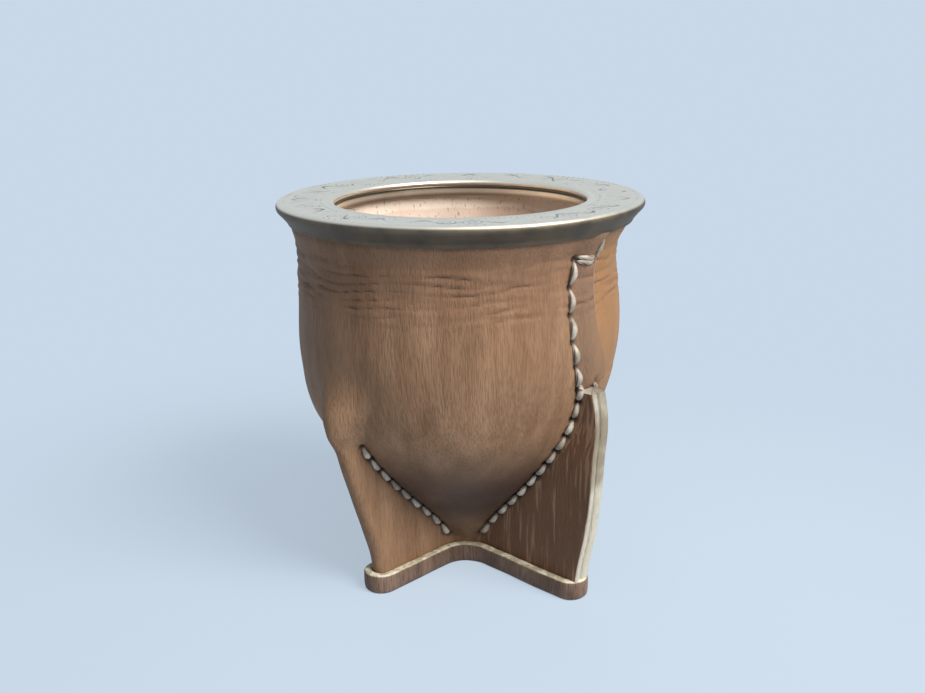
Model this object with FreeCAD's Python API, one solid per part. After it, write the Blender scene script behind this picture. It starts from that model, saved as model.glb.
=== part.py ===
"""Mate cup: a hollow gourd in a sewn leather cover, with a metal rim and a leather foot band.

Millimetres, +Z up. The origin is on the floor, under the centre of the rim.
An azimuth turns about +Z and is 0 towards -Y and 90 towards +X.
"""

import FreeCAD, Part
import math
import os

from FreeCAD import Vector

# ---------------------------------------------------------------- driving dimensions
overall_height = 100.8        # floor to the crest of the rim

# Outside of the leather body: radius, and height above the floor or drop below the rim's crest
mouth_radius = 43.8           # under the rim
mouth_drop = 5.3
neck_radius = 41.7            # the waist under the mouth
neck_drop = 16.5
belly_radius = 42.75
belly_drop = 34.5
hip_radius = 36.0             # where the belly turns into the taper
hip_height = 40.2
taper_radius = 22.5
taper_height = 24.0
tip_radius = 9.5
tip_height = 9.6
tip_depth = 5.6               # from the tip's height down to the lowest point
mouth_flare = 0.3             # outward slope of the leather where it meets the rim

# Walls
leather = 2.5                 # one layer of leather
gourd_wall = 4.5
gourd_floor = 9.0             # wood under the lowest point of the hollow
fit_gap = 0.1                 # clearance between pieces that are pushed together

# Metal rim
ring_width = 14.7             # from the opening to the outer edge
brim_overhang = 2.9           # how far the brim stands out past the skirt's lip
skirt_wall = 0.7              # the lip that closes over the leather
skirt_depth = 5.5
plate = 1.3                   # metal on top of the gourd
brim_roll = 1.3               # radius of the rolled outer edge
dish = 0.4                    # how far the top falls towards the opening
bead = 0.9                    # radius of the bead round the opening
collar_wall = 1.0
collar_set_back = 0.25        # the collar's inner face, behind the bead
collar_depth = 4.9            # from the crest to the collar's lower edge
skirt_hollow = 0.3            # how far the sweep from the roll down to the skirt is hollowed

# Fins of the foot
fin_azimuths = {"front_right": 45, "back_right": 135, "back_left": 225, "front_left": 315}
fin_faces = {                 # what its two faces look to: towards a smaller, a larger azimuth
    "front_right": ("front", "right"),
    "back_right": ("right", "back"),
    "back_left": ("back", "left"),
    "front_left": ("left", "front"),
}
seam_fin = "front_right"      # the one where the two ends of the leather meet
fold_foot_reach = 34.1        # axis to the tip of a folded fin, at the foot
fold_lean = 0.277             # outward slope of its edge
fold_crest_height = 49.0      # where the straight edge of the fold ends
fold_top_height = 66.0        # where the fold has melted into the belly
fold_set_back = 0.8           # the fold's edge stands back from the band
fold_tip_radius = 3.6         # roundness of the fold at its crest
fold_spread = 12.0            # half angle over which the tent meets the belly
seam_foot_reach = 40.9
seam_edge_reach = 42.3        # the cut edges just above the band
seam_top_reach = 47.7
seam_top_height = 56.5
seam_edge_bulge = 2.1         # how far the cut edge bows out of its chord
layer_slit = 0.3              # gap between the two cut edges
layer_slit_depth = 1.2
notch_radius = 6.0            # inside corner between two fins at the foot

# Foot band
band_height = 5.3
band_thickness = 2.2

# Lap above the seam fin
lap_width = 7.0               # stitches to the cut edge of the overlapping end
lap_rise = 0.9                # how far that end stands proud, skived thin

# Lacing
lace_width = 1.6
lace_at_hole = 0.7            # where the strand dives into the leather
stitch_pitch = 5.2
lace_foot_height = 7.9        # lowest stitch
fold_stitch_top = 40.7        # top stitch of a folded fin
seam_stitch_top = 93.0        # top stitch of the side seam
lace_lift = 0.35              # how far the turned end bridges over the lap
tail_rise = 3.5               # the loose end that runs up to the rim

# ---------------------------------------------------------------- derived places
fin_half = leather                       # a fin is two layers
seat_height = overall_height - plate     # the rim rests here on the gourd's edge
skirt_radius = mouth_radius + fit_gap    # inner face of the skirt
rim_radius = skirt_radius + skirt_wall + brim_overhang
opening_radius = rim_radius - ring_width
collar_radius = opening_radius + collar_set_back
bore_radius = collar_radius + collar_wall + fit_gap
collar_bottom = overall_height - collar_depth
mouth_height = overall_height - mouth_drop
leather_top = seat_height - fit_gap
AXIS = Vector(0, 0, 1)
ORIGIN = Vector(0, 0, 0)


def direction(azimuth):
    """Unit vector away from the axis."""
    angle = math.radians(azimuth)
    return Vector(math.sin(angle), -math.cos(angle), 0)


def sideways(azimuth):
    """Unit vector along the surface, towards a larger azimuth."""
    angle = math.radians(azimuth)
    return Vector(math.cos(angle), math.sin(angle), 0)


def section_point(radius, height):
    """Point of a section drawn in the half plane y = 0."""
    return Vector(radius, 0, height)


def line(start, end):
    return Part.LineSegment(start, end).toShape()


def arc(start, middle, end):
    return Part.Arc(start, middle, end).toShape()


def revolved(edges, degrees=360):
    return Part.Face(Part.Wire(edges)).revolve(ORIGIN, AXIS, degrees)


# ---------------------------------------------------------------- body of the cup
def body_curve():
    """Outside of the leather from the lowest point to the mouth."""
    stations = (
        (0, tip_height - tip_depth),
        (tip_radius, tip_height),
        (taper_radius, taper_height),
        (hip_radius, hip_height),
        (belly_radius, overall_height - belly_drop),
        (neck_radius, overall_height - neck_drop),
        (mouth_radius, mouth_height),
    )
    curve = Part.BSplineCurve()
    curve.interpolate(
        Points=[section_point(radius, height) for radius, height in stations],
        InitialTangent=Vector(1, 0, 0),
        FinalTangent=Vector(mouth_flare, 0, 1),
    )
    return curve


def inside_points(curve, depth, count=24):
    """Points of the curve moved by depth towards the axis side."""
    points = []
    length = curve.length()
    for step in range(count + 1):
        parameter = curve.parameterAtDistance(length * step / count, curve.FirstParameter)
        tangent = Vector(*curve.tangent(parameter)[0])
        points.append(curve.value(parameter) + Vector(-tangent.z, 0, tangent.x) * depth)
    return points


def smooth_edge(points):
    """Curve that leaves the axis square to it."""
    curve = Part.BSplineCurve()
    curve.interpolate(Points=points, InitialTangent=Vector(1, 0, 0))
    return curve.toShape()


def filled(edge, top):
    """Solid of revolution inside an edge that starts on the axis, carried straight up to top."""
    low, high = edge.Vertexes[0].Point, edge.Vertexes[-1].Point
    shoulder = section_point(high.x, top)
    crown = section_point(0, top)
    return revolved([edge, line(high, shoulder), line(shoulder, crown), line(crown, low)])


def gourd_outside(clearance):
    points = inside_points(body_curve(), leather + fit_gap - clearance)
    return filled(smooth_edge(points), seat_height)


def gourd():
    """Calabash shell: a round hollow under a thicker mouth that holds the collar."""
    depth = leather + fit_gap + gourd_wall
    hollow_floor = tip_height - tip_depth + leather + fit_gap + gourd_floor
    walls = [point for point in inside_points(body_curve(), depth) if point.z > hollow_floor + gourd_wall]
    shoulder_height = collar_bottom - gourd_wall
    walls = [point for point in walls if point.z < shoulder_height]
    lip = section_point(bore_radius, collar_bottom)
    hollow = smooth_edge([section_point(0, hollow_floor)] + walls + [lip])
    return gourd_outside(0).cut(filled(hollow, seat_height))


# ---------------------------------------------------------------- metal rim
def metal_rim():
    """One turned ring: collar, bead, dished top, rolled edge and skirt."""
    inner_top = overall_height - dish
    bead_centre = section_point(opening_radius + bead, inner_top - bead)
    roll_centre = section_point(rim_radius - brim_roll, overall_height - brim_roll)

    def around(centre, radius, degrees):
        angle = math.radians(degrees)
        return centre + Vector(math.cos(angle), 0, math.sin(angle)) * radius

    bead_top = around(bead_centre, bead, 90)
    bead_side = around(bead_centre, bead, 180)
    bead_end = around(bead_centre, bead, 240)
    roll_top = around(roll_centre, brim_roll, 90)
    roll_side = around(roll_centre, brim_roll, 0)
    roll_upper = around(roll_centre, brim_roll, 45)
    roll_lower = around(roll_centre, brim_roll, -20)
    roll_end = around(roll_centre, brim_roll, -40)
    cove = bead / 2
    collar_top = section_point(collar_radius, bead_end.z - 2 * cove)
    cove_middle = section_point(collar_radius + cove, bead_end.z - cove)
    collar_inner = section_point(collar_radius, collar_bottom)
    collar_outer = section_point(collar_radius + collar_wall, collar_bottom)
    seat_inner = section_point(collar_radius + collar_wall, seat_height)
    seat_outer = section_point(skirt_radius, seat_height)
    skirt_bottom = overall_height - skirt_depth
    lip_inner = section_point(skirt_radius, skirt_bottom)
    lip_outer = section_point(skirt_radius + skirt_wall, skirt_bottom)
    sweep_middle = (roll_end + lip_outer) * 0.5 - Vector(skirt_hollow, 0, -skirt_hollow)
    return revolved([
        line(collar_inner, collar_top),
        arc(collar_top, cove_middle, bead_end),
        arc(bead_end, bead_side, bead_top),
        line(bead_top, roll_top),
        arc(roll_top, roll_upper, roll_side),
        arc(roll_side, roll_lower, roll_end),
        arc(roll_end, sweep_middle, lip_outer),
        line(lip_outer, lip_inner),
        line(lip_inner, seat_outer),
        line(seat_outer, seat_inner),
        line(seat_inner, collar_outer),
        line(collar_outer, collar_inner),
    ])


# ---------------------------------------------------------------- foot outline
def foot_reach(fin):
    return seam_foot_reach if fin == seam_fin else fold_foot_reach


def foot_outline(grow):
    """Closed wire round the four fins at the foot, moved outwards by grow."""
    half = fin_half + grow
    inset = fin_half + notch_radius
    corner = notch_radius - grow
    edges = []
    for fin, azimuth in fin_azimuths.items():
        out, side = direction(azimuth), sideways(azimuth)
        end = foot_reach(fin) - fin_half
        near_start = out * inset - side * half
        near_end = out * end - side * half
        far_start = out * end + side * half
        far_end = out * inset + side * half
        next_start = side * inset + out * half
        corner_middle = (out + side) * inset - (out + side).normalize() * corner
        edges += [
            line(near_start, near_end),
            arc(near_end, out * (end + half), far_start),
            line(far_start, far_end),
            arc(far_end, corner_middle, next_start),
        ]
    return Part.Wire(edges)


def foot_prism(grow):
    return Part.Face(foot_outline(grow)).extrude(AXIS * band_height)


def foot_band():
    """Leather strip wrapped round the feet of the fins."""
    return foot_prism(band_thickness).cut(foot_prism(fit_gap))


# ---------------------------------------------------------------- leather cover
def body_radius(height):
    """Outside radius of the leather body at a height."""
    level = Part.LineSegment(section_point(-1, height), section_point(2 * belly_radius + mouth_radius, height))
    return max(point.X for point in body_curve().intersect(level))


def seam_plate(thickness, inset):
    """Flat fin of two layers: its edge bows out, and its top is cut level."""
    out, side = direction(fin_azimuths[seam_fin]), sideways(fin_azimuths[seam_fin])

    def place(reach, height):
        return out * reach + AXIS * height - side * (thickness / 2)

    low = place(seam_edge_reach - inset, band_height)
    high = place(seam_top_reach - inset, seam_top_height - inset)
    chord = high - low
    outward = (out * chord.z - AXIS * chord.dot(out)).normalize()
    middle = (low + high) * 0.5 + outward * seam_edge_bulge
    inner_low, inner_high = place(0, band_height), place(0, seam_top_height - inset)
    wire = Part.Wire([
        line(inner_low, low), arc(low, middle, high), line(high, inner_high), line(inner_high, inner_low),
    ])
    return Part.Face(wire).extrude(side * thickness)


def fold_section(azimuth, height, reach, tip, root_out, root_half):
    """Section of a folded fin: a round tip, and sides that run straight to the root points."""
    out, side = direction(azimuth), sideways(azimuth)
    centre_out = reach - tip
    bearing = math.atan2(root_half, centre_out - root_out)
    turn = math.acos(tip / math.hypot(centre_out - root_out, root_half))
    touch = math.pi - bearing - turn
    touch_out = centre_out + tip * math.cos(touch)
    touch_half = tip * math.sin(touch)

    def place(along, across):
        return out * along + side * across + AXIS * height

    root_low, root_high = place(root_out, -root_half), place(root_out, root_half)
    touch_low, touch_high = place(touch_out, -touch_half), place(touch_out, touch_half)
    return Part.Wire([
        line(root_high, root_low),
        line(root_low, touch_low),
        arc(touch_low, place(reach, 0), touch_high),
        line(touch_high, root_high),
    ])


def fold_fin(azimuth):
    """Leather folded double: a straight flat fin that opens like a tent above its stitches."""
    sections = []
    edge_reach = fold_foot_reach - fold_set_back
    for height in (band_height, fold_stitch_top):
        reach = edge_reach + fold_lean * (height - band_height)
        sections.append(fold_section(azimuth, height, reach, fin_half, 0, fin_half))
    crest_reach = edge_reach + fold_lean * (fold_crest_height - band_height)
    sunk_reach = body_radius(fold_top_height) - leather
    spread = math.radians(fold_spread)
    for share in (0, 0.5, 1):
        height = fold_crest_height + share * (fold_top_height - fold_crest_height)
        ease = (1 - math.cos(math.pi * share)) / 2
        reach = crest_reach + ease * (sunk_reach - crest_reach)
        half = (body_radius(height) - leather) * math.sin(spread)
        sections.append(fold_section(azimuth, height, reach, fold_tip_radius, 0, half))
    return Part.makeLoft(sections, True, True)


def lap_strip():
    """The overlapping end of the leather, between the side seam and its cut edge."""
    low, high = seam_top_height, leather_top
    points = [point for point in inside_points(body_curve(), -lap_rise) if low < point.z < mouth_height]
    face_edge = Part.BSplineCurve()
    outer_low = section_point(body_radius(low) + lap_rise, low)
    outer_high = section_point(mouth_radius, mouth_height)
    face_edge.interpolate([outer_low] + points[:-1] + [outer_high])
    inner_low = section_point(body_radius(low) - leather, low)
    inner_high = section_point(mouth_radius - leather, high)
    shoulder = section_point(mouth_radius, high)
    wire = [
        face_edge.toShape(), line(outer_high, shoulder), line(shoulder, inner_high),
        line(inner_high, inner_low), line(inner_low, outer_low),
    ]
    strip = revolved(wire, math.degrees(lap_width / belly_radius))
    strip.rotate(ORIGIN, AXIS, seam_azimuth() - 90)
    return strip


def seam_azimuth():
    """The side seam rises from the front face of the seam fin."""
    return fin_azimuths[seam_fin] - math.degrees(math.asin(fin_half / body_radius(seam_top_height)))


def layer_gap():
    """Slit between the two cut edges of the seam fin."""
    return seam_plate(layer_slit, -1).cut(seam_plate(layer_slit * 2, layer_slit_depth))


def leather_cover():
    """One piece of leather: body, folded fins, seam fin, lap and the solid foot."""
    bulk = filled(body_curve().toShape(), leather_top)
    for fin, azimuth in fin_azimuths.items():
        bulk = bulk.fuse(seam_plate(2 * fin_half, 0) if fin == seam_fin else fold_fin(azimuth))
    for addition in (foot_prism(0), lap_strip()):
        bulk = bulk.fuse(addition)
    return bulk.cut(gourd_outside(fit_gap)).cut(layer_gap())


# ---------------------------------------------------------------- lacing
def lace_solid(stations):
    """Strand of lens-shaped stitches: a square section that narrows at every hole."""
    wires = []
    for corner, along, up, width in stations:
        square = [corner, corner + along * width, corner + (along + up) * width, corner + up * width]
        wires.append(Part.makePolygon(square + square[:1]))
    return Part.makeLoft(wires, True, True)


def crease_lace(fin, side_sign, top_height):
    """Stitches in the corner where one face of a fin leaves the body, from the foot up to top_height."""
    curve = body_curve()
    out, side = direction(fin_azimuths[fin]), sideways(fin_azimuths[fin]) * side_sign
    start, end = [
        curve.parameter(section_point(body_radius(height), height))
        for height in (lace_foot_height, top_height)
    ]
    first, last = [curve.length(curve.FirstParameter, parameter) for parameter in (start, end)]
    stitches = round((last - first) / stitch_pitch)
    stations = []
    for step in range(2 * stitches + 1):
        distance = first + (last - first) * step / (2 * stitches)
        parameter = curve.parameterAtDistance(distance, curve.FirstParameter)
        point, tangent = curve.value(parameter), Vector(*curve.tangent(parameter)[0])
        if top_height > seam_top_height and point.z > seam_top_height:
            corner = direction(seam_azimuth()) * point.x + AXIS * point.z
        else:
            across = math.sqrt(point.x ** 2 - fin_half ** 2)
            corner = out * across + side * fin_half + AXIS * point.z
        ahead = corner * 1.0
        ahead.z = 0
        ahead.normalize()
        up = ahead * tangent.z - AXIS * tangent.x
        along = (up.cross(ahead * tangent.x + AXIS * tangent.z)) * -side_sign
        width = lace_width if step % 2 else lace_at_hole
        stations.append((corner + (up + along) * fit_gap, along, up, width))
    return stations


def side_lace():
    """Front lace of the seam fin and the side seam in one strand, with its turned top end."""
    stitches = lace_solid(crease_lace(seam_fin, -1, seam_stitch_top))
    sweep = math.degrees(lap_width / belly_radius)
    turn_height = seam_stitch_top - stitch_pitch / 2
    clear = lap_rise + lace_lift
    turned = []
    for share, width in ((-0.15, lace_at_hole), (0.4, lace_width), (1, lace_at_hole)):
        azimuth = seam_azimuth() + share * sweep
        out = direction(azimuth)
        corner = out * (body_radius(turn_height) + clear) + AXIS * (turn_height - width / 2)
        turned.append((corner, AXIS, out, width))
    side = sideways(azimuth)
    tail = []
    for rise, width in ((0, lace_width), (tail_rise, lace_at_hole)):
        height = turn_height + rise
        corner = out * (body_radius(height) + clear) + AXIS * height - side * width
        tail.append((corner, side, out, width))
    return stitches.fuse(lace_solid(turned)).fuse(lace_solid(tail))


def lace_pieces():
    """The side seam's strand, and one strand on every other face of the fins."""
    pieces = {"lace_side_seam": side_lace()}
    for fin, faces in fin_faces.items():
        for face, side_sign in zip(faces, (-1, 1)):
            if fin == seam_fin and side_sign < 0:
                continue
            top_height = seam_top_height if fin == seam_fin else fold_stitch_top
            pieces[f"lace_{fin}_{face}_face"] = lace_solid(crease_lace(fin, side_sign, top_height))
    return pieces


def main():
    pieces = {
        "gourd": gourd(),
        "metal_rim": metal_rim(),
        "leather_cover": leather_cover(),
        "foot_band": foot_band(),
    }
    pieces.update(lace_pieces())
    os.makedirs("parts", exist_ok=True)
    for node, shape in pieces.items():
        shape.exportStep(f"parts/{node}.step")


if __name__ == "__main__":
    main()
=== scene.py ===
import math

import bmesh
import bpy
from mathutils import Matrix, Vector, kdtree, noise


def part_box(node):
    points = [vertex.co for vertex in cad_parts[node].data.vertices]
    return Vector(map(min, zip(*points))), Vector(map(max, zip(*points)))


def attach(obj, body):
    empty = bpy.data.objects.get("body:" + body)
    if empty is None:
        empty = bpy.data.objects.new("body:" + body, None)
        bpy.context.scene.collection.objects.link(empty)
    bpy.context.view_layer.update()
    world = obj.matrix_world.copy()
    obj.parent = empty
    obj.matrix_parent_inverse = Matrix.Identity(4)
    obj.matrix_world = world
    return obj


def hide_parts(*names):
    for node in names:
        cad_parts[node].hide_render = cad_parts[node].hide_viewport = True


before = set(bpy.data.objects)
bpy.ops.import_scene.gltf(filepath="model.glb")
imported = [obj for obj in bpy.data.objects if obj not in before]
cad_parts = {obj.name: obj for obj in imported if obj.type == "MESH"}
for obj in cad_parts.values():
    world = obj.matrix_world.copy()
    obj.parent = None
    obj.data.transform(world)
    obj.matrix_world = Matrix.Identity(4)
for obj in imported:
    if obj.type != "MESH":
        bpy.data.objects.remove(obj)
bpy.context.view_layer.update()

scene = bpy.context.scene

# ---------------------------------------------------------------- camera
# A hand-held view from a little above the rim, level with the cup's front,
# turned by under a degree about its own line of sight.
MM = 0.001
VIEW_DISTANCE = 270 * MM
VIEW_HEIGHT = 139.7 * MM
VIEW_PITCH = math.radians(16.51)
VIEW_ROLL = math.radians(-0.86)

sight = Vector((0, math.cos(VIEW_PITCH), -math.sin(VIEW_PITCH)))
level_up = Vector((0, math.sin(VIEW_PITCH), math.cos(VIEW_PITCH)))
level_right = Vector((1, 0, 0))
camera_right = level_right * math.cos(VIEW_ROLL) + level_up * math.sin(VIEW_ROLL)
camera_up = level_up * math.cos(VIEW_ROLL) - level_right * math.sin(VIEW_ROLL)
camera = bpy.data.objects.new("camera", bpy.data.cameras.new("camera"))
camera.data.lens = 40.4
camera.data.sensor_width = 36
camera.data.clip_start = 0.01
scene.collection.objects.link(camera)
camera.matrix_world = Matrix((
    (camera_right.x, camera_up.x, -sight.x, 0),
    (camera_right.y, camera_up.y, -sight.y, -VIEW_DISTANCE),
    (camera_right.z, camera_up.z, -sight.z, VIEW_HEIGHT),
    (0, 0, 0, 1),
))
scene.camera = camera
scene.view_settings.view_transform = "Standard"


# ---------------------------------------------------------------- floor, backdrop and lights
# A plain pale blue sheet that runs out of sight, under an even sky. A window lights the cup from
# the front right, a weaker lamp fills the front from above, and one behind lifts the back.
def linear(red, green, blue):
    """Scene colour of a colour given as 0 to 255 display values."""
    return tuple(
        value / 12.92 if value <= 0.04045 else ((value + 0.055) / 1.055) ** 2.4
        for value in (red / 255, green / 255, blue / 255)
    ) + (1,)


def node(tree, kind, links=None, **values):
    """Adds a node, sets its properties and inputs, and links other nodes' outputs into it."""
    made = tree.nodes.new(kind)
    for name, value in values.items():
        setattr(made, name, value)
    for socket, source in (links or {}).items():
        target = made.inputs[socket]
        if isinstance(source, bpy.types.NodeSocket):
            tree.links.new(source, target)
        else:
            target.default_value = source
    return made


def worked(tree, kind, *values):
    """Result of one Math node on values or on other nodes' outputs."""
    return node(tree, "ShaderNodeMath", dict(enumerate(values)), operation=kind).outputs[0]


def ranged(tree, value, low, high, to_low=0.0, to_high=1.0):
    """Smooth step of a value, from low and high to the two results."""
    made = node(tree, "ShaderNodeMapRange", {"Value": value, "From Min": low, "From Max": high,
                "To Min": to_low, "To Max": to_high}, interpolation_type="SMOOTHSTEP")
    return made.outputs[0]


BACKDROP = linear(200, 216, 232)
SKY_STRENGTH = 0.13

world = bpy.data.worlds.new("sky")
scene.world = world
world.use_nodes = True
tree = world.node_tree
tree.nodes.clear()
rays = node(tree, "ShaderNodeLightPath")
seen = worked(tree, "MAXIMUM", rays.outputs["Is Camera Ray"], rays.outputs["Is Glossy Ray"])
seen = worked(tree, "MAXIMUM", seen, rays.outputs["Is Transmission Ray"])
sky = node(tree, "ShaderNodeBackground", {"Color": (0.95, 0.97, 1.0, 1), "Strength": SKY_STRENGTH})
shown = node(tree, "ShaderNodeBackground", {"Color": BACKDROP, "Strength": 1.0})
mixed = node(tree, "ShaderNodeMixShader", {0: seen, 1: sky.outputs[0], 2: shown.outputs[0]})
node(tree, "ShaderNodeOutputWorld", {"Surface": mixed.outputs[0]})


def new_material(name):
    """An empty node material and its output node."""
    material = bpy.data.materials.new(name)
    material.use_nodes = True
    material.node_tree.nodes.clear()
    return material, node(material.node_tree, "ShaderNodeOutputMaterial")


def finished(name, bm, material, sharp_degrees=180):
    """Turns a bmesh, given in millimetres, into a shaded object in the scene."""
    bmesh.ops.scale(bm, vec=(MM, MM, MM), verts=bm.verts)
    mesh = bpy.data.meshes.new(name)
    bm.to_mesh(mesh)
    bm.free()
    for face in mesh.polygons:
        face.use_smooth = True
    if sharp_degrees < 180:
        mesh.set_sharp_from_angle(angle=math.radians(sharp_degrees))
    mesh.materials.append(material)
    made = bpy.data.objects.new(name, mesh)
    scene.collection.objects.link(made)
    return made


SHADOW_WEIGHT = 0.30          # how much of the floor's own light shows near the cup
SHADOW_NEAR = 0.07            # metres from the cup's middle where the shadow starts to fade
SHADOW_FAR = 0.24
floor_material, out = new_material("floor")
tree = floor_material.node_tree
rays = node(tree, "ShaderNodeLightPath")
place = node(tree, "ShaderNodeTexCoord")
reach = node(tree, "ShaderNodeVectorMath", {0: place.outputs["Object"]}, operation="LENGTH")
near = ranged(tree, reach.outputs["Value"], SHADOW_NEAR, SHADOW_FAR, 1 - SHADOW_WEIGHT, 1.0)
seen = worked(tree, "MAXIMUM", rays.outputs["Is Camera Ray"], rays.outputs["Is Glossy Ray"])
seen = worked(tree, "MULTIPLY", seen, near)
lit = node(tree, "ShaderNodeBsdfDiffuse", {"Color": linear(196, 210, 224)})
plain = node(tree, "ShaderNodeEmission", {"Color": BACKDROP})
mixed = node(tree, "ShaderNodeMixShader", {0: seen, 1: lit.outputs[0], 2: plain.outputs[0]})
tree.links.new(mixed.outputs[0], out.inputs["Surface"])

sheet = bmesh.new()
bmesh.ops.create_grid(sheet, x_segments=1, y_segments=1, size=20000)
floor = finished("floor", sheet, floor_material)


def soft_lamp(name, azimuth, elevation, distance, size, power, colour):
    """A square lamp that faces the cup's middle; azimuth 0 is in front and 90 on the right."""
    lamp = bpy.data.objects.new(name, bpy.data.lights.new(name, "AREA"))
    lamp.data.shape = "SQUARE"
    lamp.data.size = size
    lamp.data.energy = power
    lamp.data.color = colour
    turn, rise = math.radians(azimuth), math.radians(elevation)
    away = Vector((math.sin(turn) * math.cos(rise), -math.cos(turn) * math.cos(rise), math.sin(rise)))
    lamp.location = Vector((0, 0, 0.05)) + away * distance
    lamp.rotation_euler = away.to_track_quat("Z", "Y").to_euler()
    scene.collection.objects.link(lamp)
    return lamp


soft_lamp("window", 48, 42, 0.9, 0.5, 12.0, (1.0, 0.97, 0.93))
soft_lamp("front_fill", 20, 60, 1.0, 0.7, 2.0, (0.96, 0.98, 1.0))
back_fill = soft_lamp("back_fill", -165, 35, 1.1, 0.8, 2.0, (0.92, 0.96, 1.0))
back_fill.visible_glossy = False    # no reflection of it in the rim


# ---------------------------------------------------------------- leather cover
# Thick saddle leather, wet-formed on the gourd and sewn. Three fins are folds pinched together by
# their stitches; the fourth holds the two cut ends, which lap over each other above its ledge.
FINS = {"front_right": 45, "back_right": 135, "back_left": 225, "front_left": 315}
SEAM_FIN = "front_right"
LEATHER = 2.5
FIN_HALF = LEATHER            # a fin is two layers
FOOT_FILLET = 9.0             # inside corner between two fins at the foot
FOOT_CORE = math.sqrt(2) * (FIN_HALF + FOOT_FILLET) - FOOT_FILLET
LEDGE = 56.4                  # height where the seam fin ends
COVER_TOP = 99.4
# Stations up the cover, as (height, value). Lengths are in millimetres and places round it in degrees
BODY = ((5.3, FOOT_CORE), (9.7, 10.0), (15.3, 14.6), (24, 22.9), (34.3, 31.8), (40.2, 36), (46.2, 39.1),
        (54.9, 41.45), (65.9, 42.75), (78.3, 42.1), (84.5, 41.65), (90, 42.1), (95.5, 43.75),
        (COVER_TOP, 43.75))
LEAN = ((10, 0), (30, -0.8), (50, -1.7), (60, -1.1), (69, -0.8), (84, -1.2), (88, -1.3), (94, -0.6),
        (95.5, -0.1), (COVER_TOP, 0))
FILLET = ((5.3, FOOT_FILLET), (9, 5), (15, 1.7), (52, 1.2), (COVER_TOP, 1.2))
FOLD_EDGE = ((0, 33.6), (8.2, 34.3), (18.8, 37.3), (29.7, 40.8), (41.1, 44.1), (47.6, 45.8))
FOLD_RISE = ((39, 7.4), (43, 7.0), (47.6, 6.2), (52, 5), (55, 3.4), (59, 1.5), (64, 0), (COVER_TOP, 0))
FOLD_REACH = ((39, 4.5), (45, 5.5), (52, 9), (59, 12), (COVER_TOP, 13))
FOLD_OPENS = (39.5, 47)       # heights where a fold leaves its parallel faces, and is a tent
FOLD_FACES = (14, 14)         # points on each face of a folded fin
SEAM_EDGE = ((0, 41.8), (7.5, 42.6), (20.4, 45.2), (34.7, 46.6), (45.7, 46.4), (51, 45.7), (LEDGE, 45.0))
SEAM_CURL = ((30, 0), (38, 0.5), (45, 1.7), (51, 2.5), (LEDGE, 2.1))
SEAM_LINE = ((56, 43.7), (59.7, 42.6), (68.2, 39.1), (75.7, 38.4), (82.8, 38.7), (89.3, 40), (COVER_TOP, 42))
LAP_LINE = ((LEDGE, 52.5), (57.6, 57.6), (62.6, 55.2), (71.5, 49.8), (79.1, 48.8), (88.2, 49.7),
            (93.4, 50.8), (COVER_TOP, 51.5))
LAP_RISE = 1.1
LAP_BEVEL = 1.1               # degrees that the lap's cut edge takes up
# Across the cut edge of the seam fin: share of the half thickness, and how far it stands out
CUT_EDGES = ((-1.0, -0.5), (-0.93, -0.1), (-0.75, 0.05), (-0.5, 0.0), (-0.32, -0.25), (-0.22, -1.1),
             (-0.12, -0.25), (0.05, 0.1), (0.4, 0.15), (0.75, 0.1), (0.93, -0.1), (1.0, -0.5))
TIP = len(CUT_EDGES)
CREASE = 6                    # points round the inside corner beside a fin
PANELS = {"front_right": 56, "back_right": 56, "back_left": 60, "front_left": 84}  # points after a fin


def direction(azimuth):
    """Unit vector away from the axis; azimuth 0 is in front and 90 on the right."""
    angle = math.radians(azimuth)
    return Vector((math.sin(angle), -math.cos(angle), 0))


def sideways(azimuth):
    """Unit vector across a fin, towards larger azimuths."""
    angle = math.radians(azimuth)
    return Vector((math.cos(angle), math.sin(angle), 0))


def through(stations, at):
    """Smooth curve through (place, value) stations, flat beyond the two ends."""
    if at <= stations[0][0]:
        return stations[0][1]
    if at >= stations[-1][0]:
        return stations[-1][1]
    step = next(i for i, station in enumerate(stations) if station[0] > at) - 1
    (start, low), (end, high) = stations[step], stations[step + 1]

    def slope(i):
        if i == 0:
            return 0
        before, here = stations[i - 1], stations[i]
        left = (here[1] - before[1]) / (here[0] - before[0])
        if i == len(stations) - 1:
            return left
        after = stations[i + 1]
        right = (after[1] - here[1]) / (after[0] - here[0])
        return 0 if left * right <= 0 else 2 * left * right / (left + right)

    share, span = (at - start) / (end - start), end - start
    square, cube = share ** 2, share ** 3
    return (low * (2 * cube - 3 * square + 1) + slope(step) * span * (cube - 2 * square + share)
            + high * (3 * square - 2 * cube) + slope(step + 1) * span * (cube - square))


def eased(low, high, at):
    """0 up to low, 1 from high on, and smooth between them."""
    share = min(max((at - low) / (high - low), 0), 1)
    return share * share * (3 - 2 * share)


def body_radius(height, azimuth):
    return through(BODY, height) + through(LEAN, height) * math.sin(math.radians(azimuth))


def crease_arc(radius, fillet, half, shift, side, count):
    """Inside corner between the body and one face of a fin, from the body to the fin."""
    across = shift + side * (half + fillet)
    out = math.sqrt((radius + fillet) ** 2 - across ** 2)
    start, end = math.atan2(across, out) - side * math.pi, -side * math.pi / 2
    turns = [start + (end - start) * step / (count - 1) for step in range(count)]
    return [(out + fillet * math.cos(turn), across + fillet * math.sin(turn)) for turn in turns]


def fin_section(radius, fillet, half, shift, tip, faces):
    """A fin from above, as (out, across) points from its smaller azimuth to its larger one."""
    flanks = []
    for side, count, end in zip((-1, 1), faces, (tip[0], tip[-1])):
        crease = crease_arc(radius, fillet, half, shift, side, CREASE)
        start = crease[-1]
        face = [
            tuple(start[k] + (end[k] - start[k]) * (step + 1) / (count + 1) for k in (0, 1))
            for step in range(count)
        ]
        flanks.append(crease + face)
    return flanks[0] + list(tip) + flanks[1][::-1]


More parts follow.
